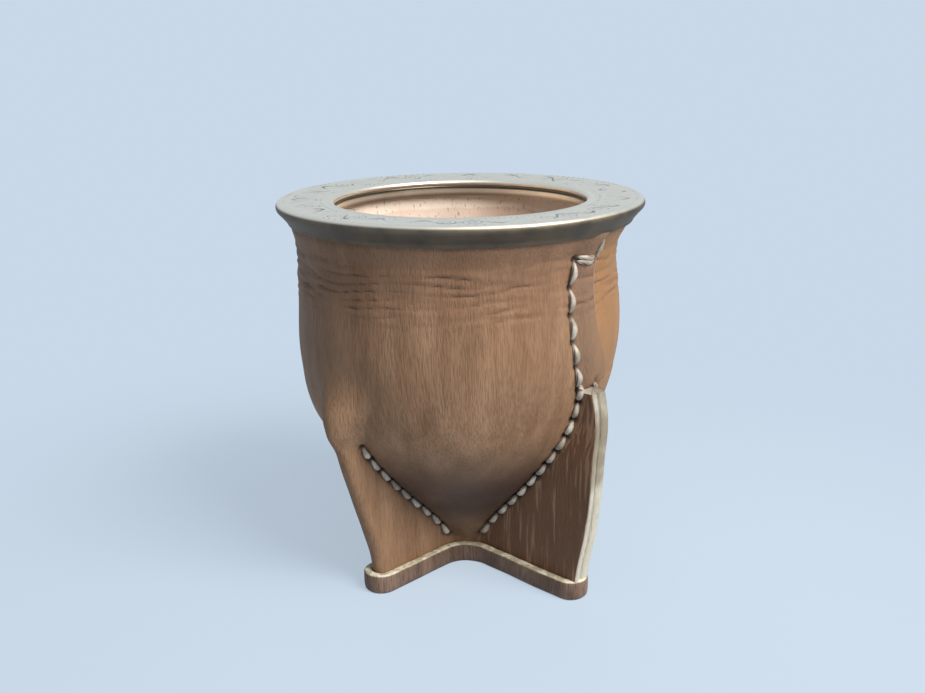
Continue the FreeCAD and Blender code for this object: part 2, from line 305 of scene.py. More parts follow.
def round_tip(edge, half, shift):
    """Half circle at the outer edge of a folded fin."""
    turns = [math.pi * (step / (TIP - 1) - 0.5) for step in range(TIP)]
    return [(edge - half + half * math.cos(turn), shift + half * math.sin(turn)) for turn in turns]


def fold_section(azimuth, height):
    """Parallel faces below the top stitch, and a tent that opens and sinks into the belly above it."""
    radius = body_radius(height, azimuth)
    opened = eased(*FOLD_OPENS, height)
    edge = max(through(FOLD_EDGE, height), radius + 2.6)
    points = fin_section(radius, through(FILLET, height), FIN_HALF, 0, round_tip(edge, FIN_HALF, 0),
                         FOLD_FACES)
    if not opened:
        return points
    reach, rise = through(FOLD_REACH, height), through(FOLD_RISE, height)
    tent = []
    for step in range(len(points)):
        share = 2 * step / (len(points) - 1) - 1
        bell = (1 - share ** 2) ** 2
        turn = share * reach / radius
        tent.append(((radius + rise * bell) * math.cos(turn), (radius + rise * bell) * math.sin(turn)))
    return [tuple(a + (b - a) * opened for a, b in zip(*pair)) for pair in zip(points, tent)]


SEAM_FACES = (32, 12)
APRON = 6                     # points on the body behind the seam fin
CURL_SHORTENS = 0.02          # how far the curl draws the fin's edge in, as a share of its own shift
FURROW = 3.2                  # degrees from the furrow's start to just past the seam
FURROW_PAST = 1.2


def seam_section(azimuth, height):
    """The fin of cut ends below its ledge; above it, the furrow of the side seam, the lap and its edge."""
    radius = body_radius(height, azimuth)
    if height <= LEDGE:
        curl = through(SEAM_CURL, height)
        edge = through(SEAM_EDGE, height)
        edge -= CURL_SHORTENS * abs(curl)
        tip = [(edge + out, curl + share * FIN_HALF) for share, out in CUT_EDGES]
        points = fin_section(radius, through(FILLET, height), FIN_HALF, curl, tip, SEAM_FACES)
        start = math.atan2(points[-1][1], points[-1][0])
        reach = start + math.radians(0.6 + 9 * eased(30, LEDGE, height))
        for step in range(1, APRON + 1):
            turn = start + (reach - start) * step / APRON
            points.append((radius * math.cos(turn), radius * math.sin(turn)))
        return points
    seam, lap = through(SEAM_LINE, height), through(LAP_LINE, height)
    places = [(seam + FURROW * (step / (CREASE - 1) - 1) + FURROW_PAST, 0) for step in range(CREASE)]
    last = places[-1][0]
    for step in range(SEAM_FACES[0]):
        share = (step + 1) / (SEAM_FACES[0] + 1)
        places.append((last + (lap - last) * share, LAP_RISE * eased(0, 0.6, share)))
    for step in range(TIP):
        share = step / (TIP - 1)
        places.append((lap + LAP_BEVEL * share, LAP_RISE * (1 - eased(0.1, 0.95, share))))
    rest = SEAM_FACES[1] + CREASE + APRON
    for step in range(rest):
        places.append((lap + LAP_BEVEL + (step + 1) * 4 / rest, 0))
    points = []
    for place, rise in places:
        turn = math.radians(place - azimuth)
        reach = body_radius(height, place) + rise * eased(LEDGE, LEDGE + 1, height)
        points.append((reach * math.cos(turn), reach * math.sin(turn)))
    return points


def cover_ring(height):
    """The whole outline at a height, as points with the share of each that is a cut edge."""
    groups = []
    for fin, azimuth in FINS.items():
        section = (seam_section if fin == SEAM_FIN else fold_section)(azimuth, height)
        ring = [direction(azimuth) * out + sideways(azimuth) * across for out, across in section]
        cut = [0] * len(ring)
        if fin == SEAM_FIN:
            first = CREASE + SEAM_FACES[0]
            for place in range(first, first + TIP):
                cut[place] = 1 if height <= LEDGE else 0.85
            if LEDGE - 0.3 < height <= LEDGE + 0.1:
                for place in range(CREASE, first + TIP + SEAM_FACES[1]):
                    cut[place] = 1
            cut[first] = cut[first + TIP - 1] = 0.5
        groups.append((fin, ring, cut))
    points, cuts = [], []
    for place, (fin, ring, cut) in enumerate(groups):
        points += ring
        cuts += cut
        start, end = ring[-1], groups[(place + 1) % len(groups)][1][0]
        first, last = (math.degrees(math.atan2(p.x, -p.y)) % 360 for p in (start, end))
        last += 360 if last < first else 0
        off_first = start.length - body_radius(height, first)
        off_last = end.length - body_radius(height, last)
        for step in range(1, PANELS[fin] + 1):
            share = step / (PANELS[fin] + 1)
            azimuth = first + (last - first) * share
            reach = body_radius(height, azimuth) + off_first + (off_last - off_first) * share
            points.append(direction(azimuth) * reach)
            cuts.append(0)
    return [Vector((p.x, p.y, height)) for p in points], cuts


def extruded_rings(bm, rings):
    """Skin through rings of equally many points: a circle extruded once for each further ring."""
    bmesh.ops.create_circle(bm, segments=len(rings[0]), radius=1)
    row = list(bm.verts)
    edges = list(bm.edges)
    rows = []
    for number, ring in enumerate(rings):
        if number:
            grown = bmesh.ops.extrude_edge_only(bm, edges=edges)["geom"]
            fresh = {part for part in grown if isinstance(part, bmesh.types.BMVert)}
            edges = [part for part in grown if isinstance(part, bmesh.types.BMEdge)
                     and part.verts[0] in fresh and part.verts[1] in fresh]
            above = {}
            for vert in fresh:
                for edge in vert.link_edges:
                    other = edge.other_vert(vert)
                    if other not in fresh:
                        above[other] = vert
            row = [above[vert] for vert in row]
        for vert, point in zip(row, ring):
            vert.co = point
        rows.append(row)
    return rows


def outward(bm):
    """Turns a closed mesh's faces outwards."""
    if bm.calc_volume(signed=True) < 0:
        bmesh.ops.reverse_faces(bm, faces=bm.faces)


def crease_spot(fin, side, height):
    """Middle of a crease: its point, the way out of the corner, and the way up along it."""
    azimuth = FINS[fin]
    spots = []
    for level in (height - 0.2, height, height + 0.2):
        shift = through(SEAM_CURL, level) if fin == SEAM_FIN else 0
        radius = body_radius(level, azimuth)
        out, across = crease_arc(radius, through(FILLET, level), FIN_HALF, shift, side, 3)[1]
        spots.append(direction(azimuth) * out + sideways(azimuth) * across + Vector((0, 0, level)))
    along = (spots[2] - spots[0]).normalized()
    away = direction(azimuth) + sideways(azimuth) * side
    away = (away - along * away.dot(along)).normalized()
    return spots[1], away, along


def seam_spot(height):
    """The same for the side seam above the ledge."""
    azimuth = through(SEAM_LINE, height)
    lean = (through(BODY, height + 1) - through(BODY, height - 1)) / 2
    away = (direction(azimuth) - Vector((0, 0, lean))).normalized()
    turn = through(SEAM_LINE, height + 1) - through(SEAM_LINE, height - 1)
    along = sideways(azimuth) * math.radians(turn / 2) * body_radius(height, azimuth)
    along = (along + direction(azimuth) * lean + Vector((0, 0, 1))).normalized()
    return direction(azimuth) * body_radius(height, azimuth) + Vector((0, 0, height)), away, along


# Stitch holes: a crease's run from the foot to its top stitch, and the side seam's up to the rim
STITCH_PITCH = 5.0
SEAM_PITCH = 6.6
STITCH_FOOT = 8.2
FOLD_TOP = 41.5
SEAM_TOP = 88


def climb(spot, low, high, pitch):
    """Spots along a run of stitches, a pitch apart along the run."""
    found = [spot(low)]
    height = low
    while height < high:
        step = 0.1
        while (spot(height + step)[0] - found[-1][0]).length < pitch and height + step < high + pitch:
            step += 0.1
        height += step
        found.append(spot(height))
    return found


runs = {}
for fin in FINS:
    for side in (-1, 1):
        top = LEDGE - 1.5 if fin == SEAM_FIN else FOLD_TOP
        runs[fin, side] = climb(lambda height, fin=fin, side=side: crease_spot(fin, side, height),
                                STITCH_FOOT, top, STITCH_PITCH)
runs["seam", 0] = climb(seam_spot, LEDGE + 0.8, SEAM_TOP, SEAM_PITCH)
holes = kdtree.KDTree(sum(len(run) for run in runs.values()))
for number, spot in enumerate(spot for run in runs.values() for spot in run):
    holes.insert(spot[0], number)
holes.balance()

# Rows of the skin: close together round the wrinkled neck, and at the ledge, which is a step
FIN_ROW = 0.75
BODY_ROW = 0.8
NECK_ROW = 0.5
WRINKLES_START = 73
WRINKLES_FULL = (80, 88)
WRINKLES_END = 93
WRINKLE_PITCH = 2.3           # height between the creases round the neck
levels = [0, 0.6, 3, 5.2]
while levels[-1] < LEDGE - 1.2:
    levels.append(levels[-1] + FIN_ROW)
levels += [LEDGE - 0.45, LEDGE - 0.08, LEDGE + 0.04, LEDGE + 0.4]
while levels[-1] < COVER_TOP:
    in_neck = WRINKLES_START < levels[-1] < WRINKLES_END - 1
    levels.append(levels[-1] + (NECK_ROW if in_neck else BODY_ROW))
levels[-1] = COVER_TOP
outer, cut_rows = zip(*(cover_ring(level) for level in levels))
outer = [list(ring) for ring in outer]
LEVEL_SHARE = 1.15            # a sloping wall's width measured level, over its thickness
INSIDE_POINT = (2, 6.9)       # radius and height where the inside closes under the gourd


def inside_ring(radius, height):
    """Round ring inside the cover, with a point for each one of the top outline."""
    return [Vector((p.x, p.y, 0)).normalized() * radius + Vector((0, 0, height)) for p in outer[-1]]


inner = [inside_ring(through(BODY, level) - LEATHER * LEVEL_SHARE, level)
         for level in (COVER_TOP, 90, 78, 66, 55, 44, 33, 24, 16, 12)]
inner.append(inside_ring(*INSIDE_POINT))

bm = bmesh.new()
cut_layer = bm.verts.layers.float.new("cut_edge")
hole_shade_layer = bm.verts.layers.float.new("hole")
furrow_shade_layer = bm.verts.layers.float.new("crease")
strands_and_shade_layer = bm.verts.layers.float.new("strands_and_shade")
wear_and_shade_layer = bm.verts.layers.float.new("wear_and_shade")
lap_layer = bm.verts.layers.float.new("lap")
rows = extruded_rings(bm, outer + inner)
for row in (rows[0], rows[-1]):
    bmesh.ops.contextual_create(bm, geom=row)
outward(bm)
bm.normal_update()
# Hand-made unevenness: wrinkles, swells, and dimples where the stitches pull
moved = []
for row, cuts in zip(rows, cut_rows):
    for vert, cut in zip(row, cuts):
        vert[cut_layer] = cut
        place = vert.co
        near = holes.find(place)[2]
        # closeness to a stitch hole, which carries the holes' painted shade
        vert[hole_shade_layer] = math.exp(-(near / 1.0) ** 2)
        band = eased(WRINKLES_START, WRINKLES_FULL[0], place.z)
        band *= 1 - eased(WRINKLES_FULL[1], WRINKLES_END, place.z)
        rough = noise.noise(place * 0.09 + Vector((3, 1, 5)))
        drift = noise.noise(Vector((place.x * 0.045, place.y * 0.045, place.z * 0.06)))
        fine = noise.noise(Vector((place.x * 0.12 + 7, place.y * 0.12, place.z * 0.75)))
        broken = noise.noise(Vector((place.x * 0.07, place.y * 0.07 + 9, place.z * 0.35)))
        phase = place.z / WRINKLE_PITCH + 1.6 * drift + 0.25 * fine
        furrow = max(0, 1 - abs((phase % 1) - 0.5) / 0.22) * eased(-0.3, 0.1, broken)
        # depth of the neck wrinkles' furrows, which carries their painted shade
        vert[furrow_shade_layer] = band * min(1, furrow)
        swell = (0.32 * fine - 0.30 * furrow) * band + 0.32 * rough * eased(8, 14, place.z)
        azimuth = math.degrees(math.atan2(place.x, -place.y))
        over = eased(-1, 1, azimuth - through(SEAM_LINE, place.z))
        over *= 1 - eased(0, 0.6, azimuth - through(LAP_LINE, place.z))
        vert[lap_layer] = over if place.z > LEDGE else 0
        proud = math.hypot(place.x, place.y) - through(BODY, place.z)
        on_fin = proud > 1.2
        # share of the body between the fins, which carries the wear and painted shade of the lower taper
        vert[wear_and_shade_layer] = 1 - eased(0.6, 2.6, proud)
        # the seam fin's front face, where shade is painted and strands are drawn
        facing = vert.normal.dot(direction(FINS[SEAM_FIN] - 90)) > 0.6
        vert[strands_and_shade_layer] = 1 if on_fin and facing and place.x > 0 and place.z < LEDGE else 0
        pull = 0.8 * math.exp(-(near / 0.9) ** 2) + 0.25 * math.exp(-(near / 2.8) ** 2)
        calm = 1 - eased(93, 95.5, place.z)
        moved.append((vert, vert.normal * ((swell * (1 - cut) - pull) * calm if place.z > 5.4 else 0)))
for vert, step in moved:
    vert.co = vert.co + step

# Grain shared by the cover and the foot band
grain = bpy.data.node_groups.new("leather_grain", "ShaderNodeTree")
grain.interface.new_socket("Stretch", in_out="INPUT", socket_type="NodeSocketFloat").default_value = 0.35
grain.interface.new_socket("Pores", in_out="OUTPUT", socket_type="NodeSocketFloat")
grain.interface.new_socket("Mottle", in_out="OUTPUT", socket_type="NodeSocketFloat")
grain.interface.new_socket("Height", in_out="OUTPUT", socket_type="NodeSocketFloat")
given = node(grain, "NodeGroupInput")
place = node(grain, "ShaderNodeTexCoord")
lengths = node(grain, "ShaderNodeCombineXYZ", {"X": 1.0, "Y": 1.0, "Z": given.outputs["Stretch"]})
drawn = node(grain, "ShaderNodeVectorMath", {0: place.outputs["Object"], 1: lengths.outputs[0]},
             operation="MULTIPLY")
fine = node(grain, "ShaderNodeTexNoise", {"Vector": drawn.outputs[0], "Scale": 2300.0, "Detail": 3.0,
            "Roughness": 0.6})
pores = node(grain, "ShaderNodeMapRange", {"Value": fine.outputs["Fac"], "From Min": 0.34,
             "From Max": 0.58})
broad = node(grain, "ShaderNodeTexNoise", {"Vector": drawn.outputs[0], "Scale": 120.0, "Detail": 6.0,
             "Roughness": 0.68})
mottle = node(grain, "ShaderNodeMapRange", {"Value": broad.outputs["Fac"], "From Min": 0.28,
              "From Max": 0.72})
height = worked(grain, "MULTIPLY_ADD", mottle.outputs[0], 0.35, pores.outputs[0])
node(grain, "NodeGroupOutput", {"Pores": pores.outputs[0], "Mottle": mottle.outputs[0],
     "Height": height})


def mix_colour(tree, share, first, second):
    """Mixes two colours, given as values or as outputs."""
    made = node(tree, "ShaderNodeMix", data_type="RGBA", blend_type="MIX")
    for socket, source in (("Factor", share), ("A", first), ("B", second)):
        target = next(s for s in made.inputs if s.name == socket
                      and s.type == ("VALUE" if socket == "Factor" else "RGBA"))
        if isinstance(source, bpy.types.NodeSocket):
            tree.links.new(source, target)
        else:
            target.default_value = source
    return next(s for s in made.outputs if s.type == "RGBA")


def layered(tree, name, low, high, to_low=0.0, to_high=1.0):
    """Smooth step of a value that the mesh carries in its own layer."""
    layer = node(tree, "ShaderNodeAttribute", attribute_name=name)
    return ranged(tree, layer.outputs["Fac"], low, high, to_low, to_high)


def mottled_leather(name, stretch, light, dark, tint):
    """Leather, mottled and pored. Returns the material, its tree, colour, height and output."""
    material, out = new_material(name)
    tree = material.node_tree
    used = node(tree, "ShaderNodeGroup", node_tree=grain)
    used.inputs["Stretch"].default_value = stretch
    colour = mix_colour(tree, used.outputs["Mottle"], dark, light)
    shade = ranged(tree, used.outputs["Pores"], 0, 1, tint, 0.0)
    colour = mix_colour(tree, shade, colour, linear(52, 36, 28))
    return material, tree, colour, used.outputs["Height"], out


def leather_finish(tree, out, colour, rough, height, depth):
    """Joins a leather's colour, roughness and relief to its output."""
    bump = node(tree, "ShaderNodeBump", {"Strength": 0.5, "Distance": depth, "Height": height})
    skin = node(tree, "ShaderNodeBsdfPrincipled", {"Base Color": colour, "Roughness": rough,
                "Normal": bump.outputs[0], "Specular IOR Level": 0.16})
    tree.links.new(skin.outputs[0], out.inputs["Surface"])


cover_material, tree, colour, height, out = mottled_leather(
    "saddle_leather", 0.13, linear(162, 128, 100), linear(116, 85, 61), 0.22)
spot = node(tree, "ShaderNodeTexCoord").outputs["Object"]
place = node(tree, "ShaderNodeSeparateXYZ", {0: spot})
blotch_noise = node(tree, "ShaderNodeTexNoise", {"Vector": spot, "Scale": 40.0, "Detail": 4.0, "Roughness": 0.6})
# painted shade: the neck is darkened towards the rim
neck_shade = ranged(tree, place.outputs["Z"], 0.070, 0.086, 0.0, 0.42)
colour = mix_colour(tree, neck_shade, colour, linear(122, 90, 70))
# the side behind the lap is fresher and more orange
fresh = worked(tree, "MULTIPLY", ranged(tree, place.outputs["X"], 0.0305, 0.0335),
               ranged(tree, place.outputs["Z"], 0.050, 0.058))
colour = mix_colour(tree, worked(tree, "MULTIPLY", fresh, 0.6), colour, linear(158, 115, 72))
colour = mix_colour(tree, layered(tree, "lap", 0.2, 0.8, 0.0, 0.6), colour, linear(122, 98, 80))
# painted shade and wear: the lower taper between the fins is darker, partly real wear from years of handling
# and partly painted shade where it faces down between the fins
wear_and_shade = node(tree, "ShaderNodeAttribute", attribute_name="wear_and_shade")
lower_wear_and_shade = worked(tree, "MULTIPLY", ranged(tree, place.outputs["Z"], 0.026, 0.048, 0.95, 0.0),
              wear_and_shade.outputs["Fac"])
lower_wear_and_shade = worked(tree, "MULTIPLY", lower_wear_and_shade, ranged(tree, place.outputs["Z"], 0.010, 0.022, 0.4, 1.0))
lower_wear_and_shade = worked(tree, "MULTIPLY", lower_wear_and_shade, ranged(tree, blotch_noise.outputs["Fac"], 0.2, 0.5, 0.6, 1.0))
colour = mix_colour(tree, lower_wear_and_shade, colour, linear(72, 52, 43))
# painted shade: the seam fin's front face is painted dark, with pale upright strands on it
drawn = node(tree, "ShaderNodeVectorMath", {0: spot, 1: (1, 1, 0.07)}, operation="MULTIPLY")
strands = node(tree, "ShaderNodeTexNoise", {"Vector": drawn.outputs[0], "Scale": 800.0, "Detail": 2.0})
strands = ranged(tree, strands.outputs["Fac"], 0.54, 0.66, 0.0, 0.55)
strands_on_shade = mix_colour(tree, strands, linear(104, 74, 55), linear(166, 134, 110))
colour = mix_colour(tree, layered(tree, "strands_and_shade", 0.3, 0.8, 0.0, 0.85), colour, strands_on_shade)
# painted shade in the furrows of the neck wrinkles
colour = mix_colour(tree, layered(tree, "crease", 0.2, 1.0, 0.0, 0.5), colour, linear(84, 60, 46))
# painted shade in the stitch holes
colour = mix_colour(tree, layered(tree, "hole", 0.15, 0.8, 0.0, 0.85), colour, linear(38, 28, 23))
fibre = mix_colour(tree, ranged(tree, blotch_noise.outputs["Fac"], 0.38, 0.62),
                   linear(134, 124, 108), linear(194, 188, 172))
colour = mix_colour(tree, layered(tree, "cut_edge", 0.55, 0.85), colour, fibre)
rough = layered(tree, "cut_edge", 0.5, 0.9, 0.52, 0.85)
leather_finish(tree, out, colour, rough, height, 0.00022)

cover = finished("leather_cover_sewn", bm, cover_material, 50)
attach(cover, "root")
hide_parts("leather_cover")


# ---------------------------------------------------------------- gourd
# A dried calabash cut level at the mouth. Only its inside shows, under the collar: pale
# fibrous wood with short dark pores, stained darker below where it has been filled.
GOURD_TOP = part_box("gourd")[1].z / MM
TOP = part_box("metal_rim")[1].z / MM
WALL = 4.5
FIT = 0.1
COVER_CLEAR = LEATHER * 1.25 + FIT    # from the cover's outside, and more where it slopes
GOURD_LIP = 41.0              # outer radius where the rim grips it
COLLAR_OUTER = 34.15
COLLAR_BOTTOM = 95.9


def spun(name, profile, material, segments, sharp_degrees=180):
    """Turned piece: a closed (radius, height) outline spun round the axis."""
    bm = bmesh.new()
    verts = [bm.verts.new((radius, 0, height)) for radius, height in profile]
    closing = [] if profile[0][0] == 0 else verts[:1]
    edges = [bm.edges.new(pair) for pair in zip(verts, verts[1:] + closing)]
    bmesh.ops.spin(bm, geom=verts + edges, cent=(0, 0, 0), axis=(0, 0, 1), angle=math.tau, steps=segments,
                   use_merge=True)
    bmesh.ops.remove_doubles(bm, verts=bm.verts, dist=0.0005)
    outward(bm)
    return finished(name, bm, material, sharp_degrees)


def inside_body(low, high, depth):
    """Forty points of an outline that follows the body at a depth under its outside."""
    heights = [low + (high - low) * step / 39 for step in range(40)]
    return [(through(BODY, height) - depth, height) for height in heights]


outside = [(0, 8)] + inside_body(14, 92, COVER_CLEAR) + [(GOURD_LIP, 96.5), (GOURD_LIP, GOURD_TOP)]
hollow = [(0, 16.5), (6, 16.9)] + inside_body(22, 91, LEATHER + WALL * LEVEL_SHARE)[2:]
hollow += [(COLLAR_OUTER + 0.8, 94.6), (COLLAR_OUTER + FIT, COLLAR_BOTTOM), (COLLAR_OUTER + FIT, GOURD_TOP)]
gourd_material, out = new_material("calabash")
tree = gourd_material.node_tree
place = node(tree, "ShaderNodeTexCoord").outputs["Object"]
apart = node(tree, "ShaderNodeSeparateXYZ", {0: place})
drawn = node(tree, "ShaderNodeVectorMath", {0: place, 1: (1, 1, 0.4)}, operation="MULTIPLY")
streak = node(tree, "ShaderNodeTexNoise", {"Vector": drawn.outputs[0], "Scale": 1500.0, "Detail": 3.0})
cloud = node(tree, "ShaderNodeTexNoise", {"Vector": place, "Scale": 60.0, "Detail": 4.0})
wave = worked(tree, "MULTIPLY_ADD", cloud.outputs["Fac"], 0.004, apart.outputs["Z"])
clouded = ranged(tree, cloud.outputs["Fac"], 0.35, 0.65)
clean = mix_colour(tree, clouded, linear(224, 208, 192), linear(234, 220, 206))
stained = mix_colour(tree, clouded, linear(204, 180, 162), linear(222, 204, 188))
colour = mix_colour(tree, ranged(tree, wave, 0.0934, 0.0944), stained, clean)
dashes = ranged(tree, streak.outputs["Fac"], 0.61, 0.67, 0.0, 0.55)
colour = mix_colour(tree, dashes, colour, linear(120, 92, 74))
bump = node(tree, "ShaderNodeBump", {"Strength": 0.5, "Distance": 0.0002, "Height": streak.outputs["Fac"]})
wood = node(tree, "ShaderNodeBsdfPrincipled", {"Base Color": colour, "Roughness": 0.7,
            "Normal": bump.outputs[0]})
tree.links.new(wood.outputs[0], out.inputs["Surface"])
gourd = spun("gourd_shell", outside + hollow[::-1], gourd_material, 128, 40)
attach(gourd, "root")
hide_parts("gourd")


# ---------------------------------------------------------------- metal rim
# One spun ring of nickel-silver that grips the gourd's mouth: collar inside, bead, flat top with
# shallow hand engraving, rolled edge, and a skirt that closes over the leather and has gone dark.
OPENING = 32.8
RIM_OUT = 47.5
SKIRT = 43.9
DISH = 0.4                    # the flat top is lower at the mouth by this
FLAT_START = 2.4              # from the opening to the flat top
BEAD = 0.9
ROLL = 1.3
SCROLL_MIDDLE = 0.0408        # radius of the engraved band's middle, in metres, and half its width
SCROLL_HALF = 0.0046
SWINGS = 22.0                 # swings of the vine in a turn
DOTS = 150.0                  # dots of a border in a turn


def turned_arc(radius, height, size, start, end, count):
    """Arc of an outline round a centre at a radius and height, between two angles in degrees."""
    turns = [math.radians(start + (end - start) * step / count) for step in range(count + 1)]
    return [(radius + size * math.cos(turn), height + size * math.sin(turn)) for turn in turns]


profile = [(COLLAR_OUTER, COLLAR_BOTTOM), (COLLAR_OUTER - 1.0, COLLAR_BOTTOM),
           (COLLAR_OUTER - 1.1, TOP - 2.9)]
profile += turned_arc(OPENING + 0.35 + BEAD / 2, TOP - 2.3, BEAD / 2, 235, 125, 4)
profile += turned_arc(OPENING + BEAD, TOP - DISH - BEAD, BEAD, 235, 75, 12)
inner_end, outer_end = (OPENING + FLAT_START, TOP - DISH - 0.1), (RIM_OUT - ROLL, TOP)
profile += [(OPENING + 2 * BEAD, TOP - DISH - 0.22), inner_end]
profile += [tuple(a + (b - a) * step / 12 for a, b in zip(inner_end, outer_end)) for step in range(1, 12)]
profile += turned_arc(RIM_OUT - ROLL, TOP - ROLL, ROLL, 88, -42, 12)
profile += [(SKIRT + 2.3, TOP - 3.2), (SKIRT + 1.4, TOP - 4.3), (SKIRT + 0.95, TOP - 4.75),
            (SKIRT + 0.9, TOP - 5.1), (SKIRT + 0.7, TOP - 5.45), (SKIRT, TOP - 5.45),
            (SKIRT, TOP - 1.3), (COLLAR_OUTER, TOP - 1.3)]
rim_material, out = new_material("engraved_alpaca")
tree = rim_material.node_tree
place = node(tree, "ShaderNodeTexCoord").outputs["Object"]
apart = node(tree, "ShaderNodeSeparateXYZ", {0: place})
flat = node(tree, "ShaderNodeCombineXYZ", {"X": apart.outputs["X"], "Y": apart.outputs["Y"]})
across = node(tree, "ShaderNodeVectorMath", {0: flat.outputs[0]}, operation="LENGTH").outputs["Value"]
turn = worked(tree, "ARCTAN2", apart.outputs["Y"], apart.outputs["X"])
on_top = worked(tree, "MULTIPLY", ranged(tree, across, 0.0356, 0.0359), ranged(tree, across, 0.0462, 0.0459))
on_top = worked(tree, "MULTIPLY", ranged(tree, apart.outputs["Z"], 0.0994, 0.0999), on_top)
# The scroll runs in a band: a vine that swings from side to side, with curls that turn off it
middle = worked(tree, "DIVIDE", worked(tree, "SUBTRACT", across, SCROLL_MIDDLE), SCROLL_HALF)
wave = worked(tree, "SINE", worked(tree, "MULTIPLY", turn, SWINGS))
vine = worked(tree, "ABSOLUTE", worked(tree, "SUBTRACT", middle, worked(tree, "MULTIPLY", wave, 0.55)))
vine = ranged(tree, vine, 0.05, 0.13, 1.0, 0.0)
cell = worked(tree, "FRACT", worked(tree, "MULTIPLY", turn, SWINGS / math.pi))
cell = worked(tree, "MULTIPLY", worked(tree, "SUBTRACT", cell, 0.5), 2.0)
lean = worked(tree, "MULTIPLY", worked(tree, "SIGN", wave), -0.35)
curl_across = worked(tree, "ADD", middle, worked(tree, "MULTIPLY", lean, -0.2))
curl_reach = worked(tree, "ADD", worked(tree, "MULTIPLY", cell, cell),
                    worked(tree, "MULTIPLY", curl_across, curl_across))
curl_reach = worked(tree, "SQRT", curl_reach)
curl_turn = worked(tree, "DIVIDE", worked(tree, "ARCTAN2", curl_across, cell), math.tau)
spiral = worked(tree, "ADD", worked(tree, "MULTIPLY", curl_reach, 2.4), curl_turn)
spiral = worked(tree, "ABSOLUTE", worked(tree, "SUBTRACT", worked(tree, "FRACT", spiral), 0.5))
spiral = ranged(tree, spiral, 0.05, 0.14, 1.0, 0.0)
spiral = worked(tree, "MULTIPLY", spiral, ranged(tree, curl_reach, 0.95, 0.8))
# A line of dots borders the band on each side
dots = ranged(tree, worked(tree, "SINE", worked(tree, "MULTIPLY", turn, DOTS)), 0.35, 0.75)
borders = [
    ranged(tree, worked(tree, "ABSOLUTE", worked(tree, kind, middle, 1.02)), 0.04, 0.09, 1.0, 0.0)
    for kind in ("SUBTRACT", "ADD")
]
dots = worked(tree, "MULTIPLY", worked(tree, "MAXIMUM", *borders), dots)
cuts = worked(tree, "MAXIMUM", worked(tree, "MAXIMUM", vine, spiral), dots)
# Rubbing has worn the engraving away in patches, and a few curls are still deep
faded = node(tree, "ShaderNodeTexNoise", {"Vector": place, "Scale": 110.0, "Detail": 3.0})
deep = worked(tree, "MULTIPLY", on_top, ranged(tree, faded.outputs["Fac"], 0.66, 0.70))
cuts = worked(tree, "MULTIPLY", worked(tree, "MULTIPLY", cuts, on_top),
              ranged(tree, faded.outputs["Fac"], 0.47, 0.60, 0.15, 1.0))
cuts = worked(tree, "MAXIMUM", cuts, worked(tree, "MULTIPLY", deep, spiral))
smudge = node(tree, "ShaderNodeTexNoise", {"Vector": place, "Scale": 160.0, "Detail": 5.0,
              "Roughness": 0.65})
scratch = node(tree, "ShaderNodeTexNoise", {"Vector": place, "Scale": 900.0, "Detail": 2.0})
colour = mix_colour(tree, ranged(tree, smudge.outputs["Fac"], 0.35, 0.7, 0.0, 0.35),
                    linear(240, 228, 208), linear(216, 205, 186))
colour = mix_colour(tree, worked(tree, "MULTIPLY", cuts, 0.75), colour, linear(62, 58, 54))
skirt = worked(tree, "MULTIPLY", ranged(tree, apart.outputs["Z"], 0.1006, 0.0999),
               ranged(tree, across, 0.0420, 0.0430))
patina = mix_colour(tree, ranged(tree, smudge.outputs["Fac"], 0.3, 0.7),
                    linear(56, 46, 37), linear(98, 84, 68))
colour = mix_colour(tree, worked(tree, "MULTIPLY", skirt, 0.92), colour, patina)
# painted shade on the lower inside of the collar
collar_shade = worked(tree, "MULTIPLY", ranged(tree, apart.outputs["Z"], 0.0972, 0.0962),
                     ranged(tree, across, 0.0360, 0.0350))
colour = mix_colour(tree, worked(tree, "MULTIPLY", collar_shade, 0.7), colour, linear(92, 82, 70))
# painted shade: a dark band in the cove under the bead
cove_shade = worked(tree, "ABSOLUTE", worked(tree, "SUBTRACT", apart.outputs["Z"], 0.0984))
cove_shade = worked(tree, "MULTIPLY", ranged(tree, cove_shade, 0.0008, 0.0003), ranged(tree, across, 0.0352, 0.0346))
colour = mix_colour(tree, worked(tree, "MULTIPLY", cove_shade, 0.85), colour, linear(58, 54, 42))
rough = worked(tree, "ADD", ranged(tree, smudge.outputs["Fac"], 0.3, 0.7, 0.32, 0.44),
               worked(tree, "MULTIPLY", skirt, 0.2))
relief = worked(tree, "SUBTRACT", worked(tree, "MULTIPLY", scratch.outputs["Fac"], 0.10), cuts)
bump = node(tree, "ShaderNodeBump", {"Strength": 0.6, "Distance": 0.00015, "Height": relief})
ring = node(tree, "ShaderNodeBsdfPrincipled", {"Base Color": colour, "Metallic": 1.0, "Roughness": rough,
            "Normal": bump.outputs[0]})
tree.links.new(ring.outputs[0], out.inputs["Surface"])
rim = spun("engraved_rim", profile, rim_material, 256, 40)
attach(rim, "root")
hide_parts("metal_rim")


# ---------------------------------------------------------------- foot band
# A strip of the same leather wrapped tight round the feet of the fins and glued, with its cut
# edges up and down. The top edge is left pale.
BAND_HEIGHT = 5.3
BAND_THICKNESS = 2.2
BAND_FIT = 0.1
SEAM_FOOT = 40.9              # how far the seam fin's foot reaches out, and the other three's
FOLD_FOOT = 34.1
UNEVEN = 0.12                 # the strip is laid by hand, so its faces are not quite flat


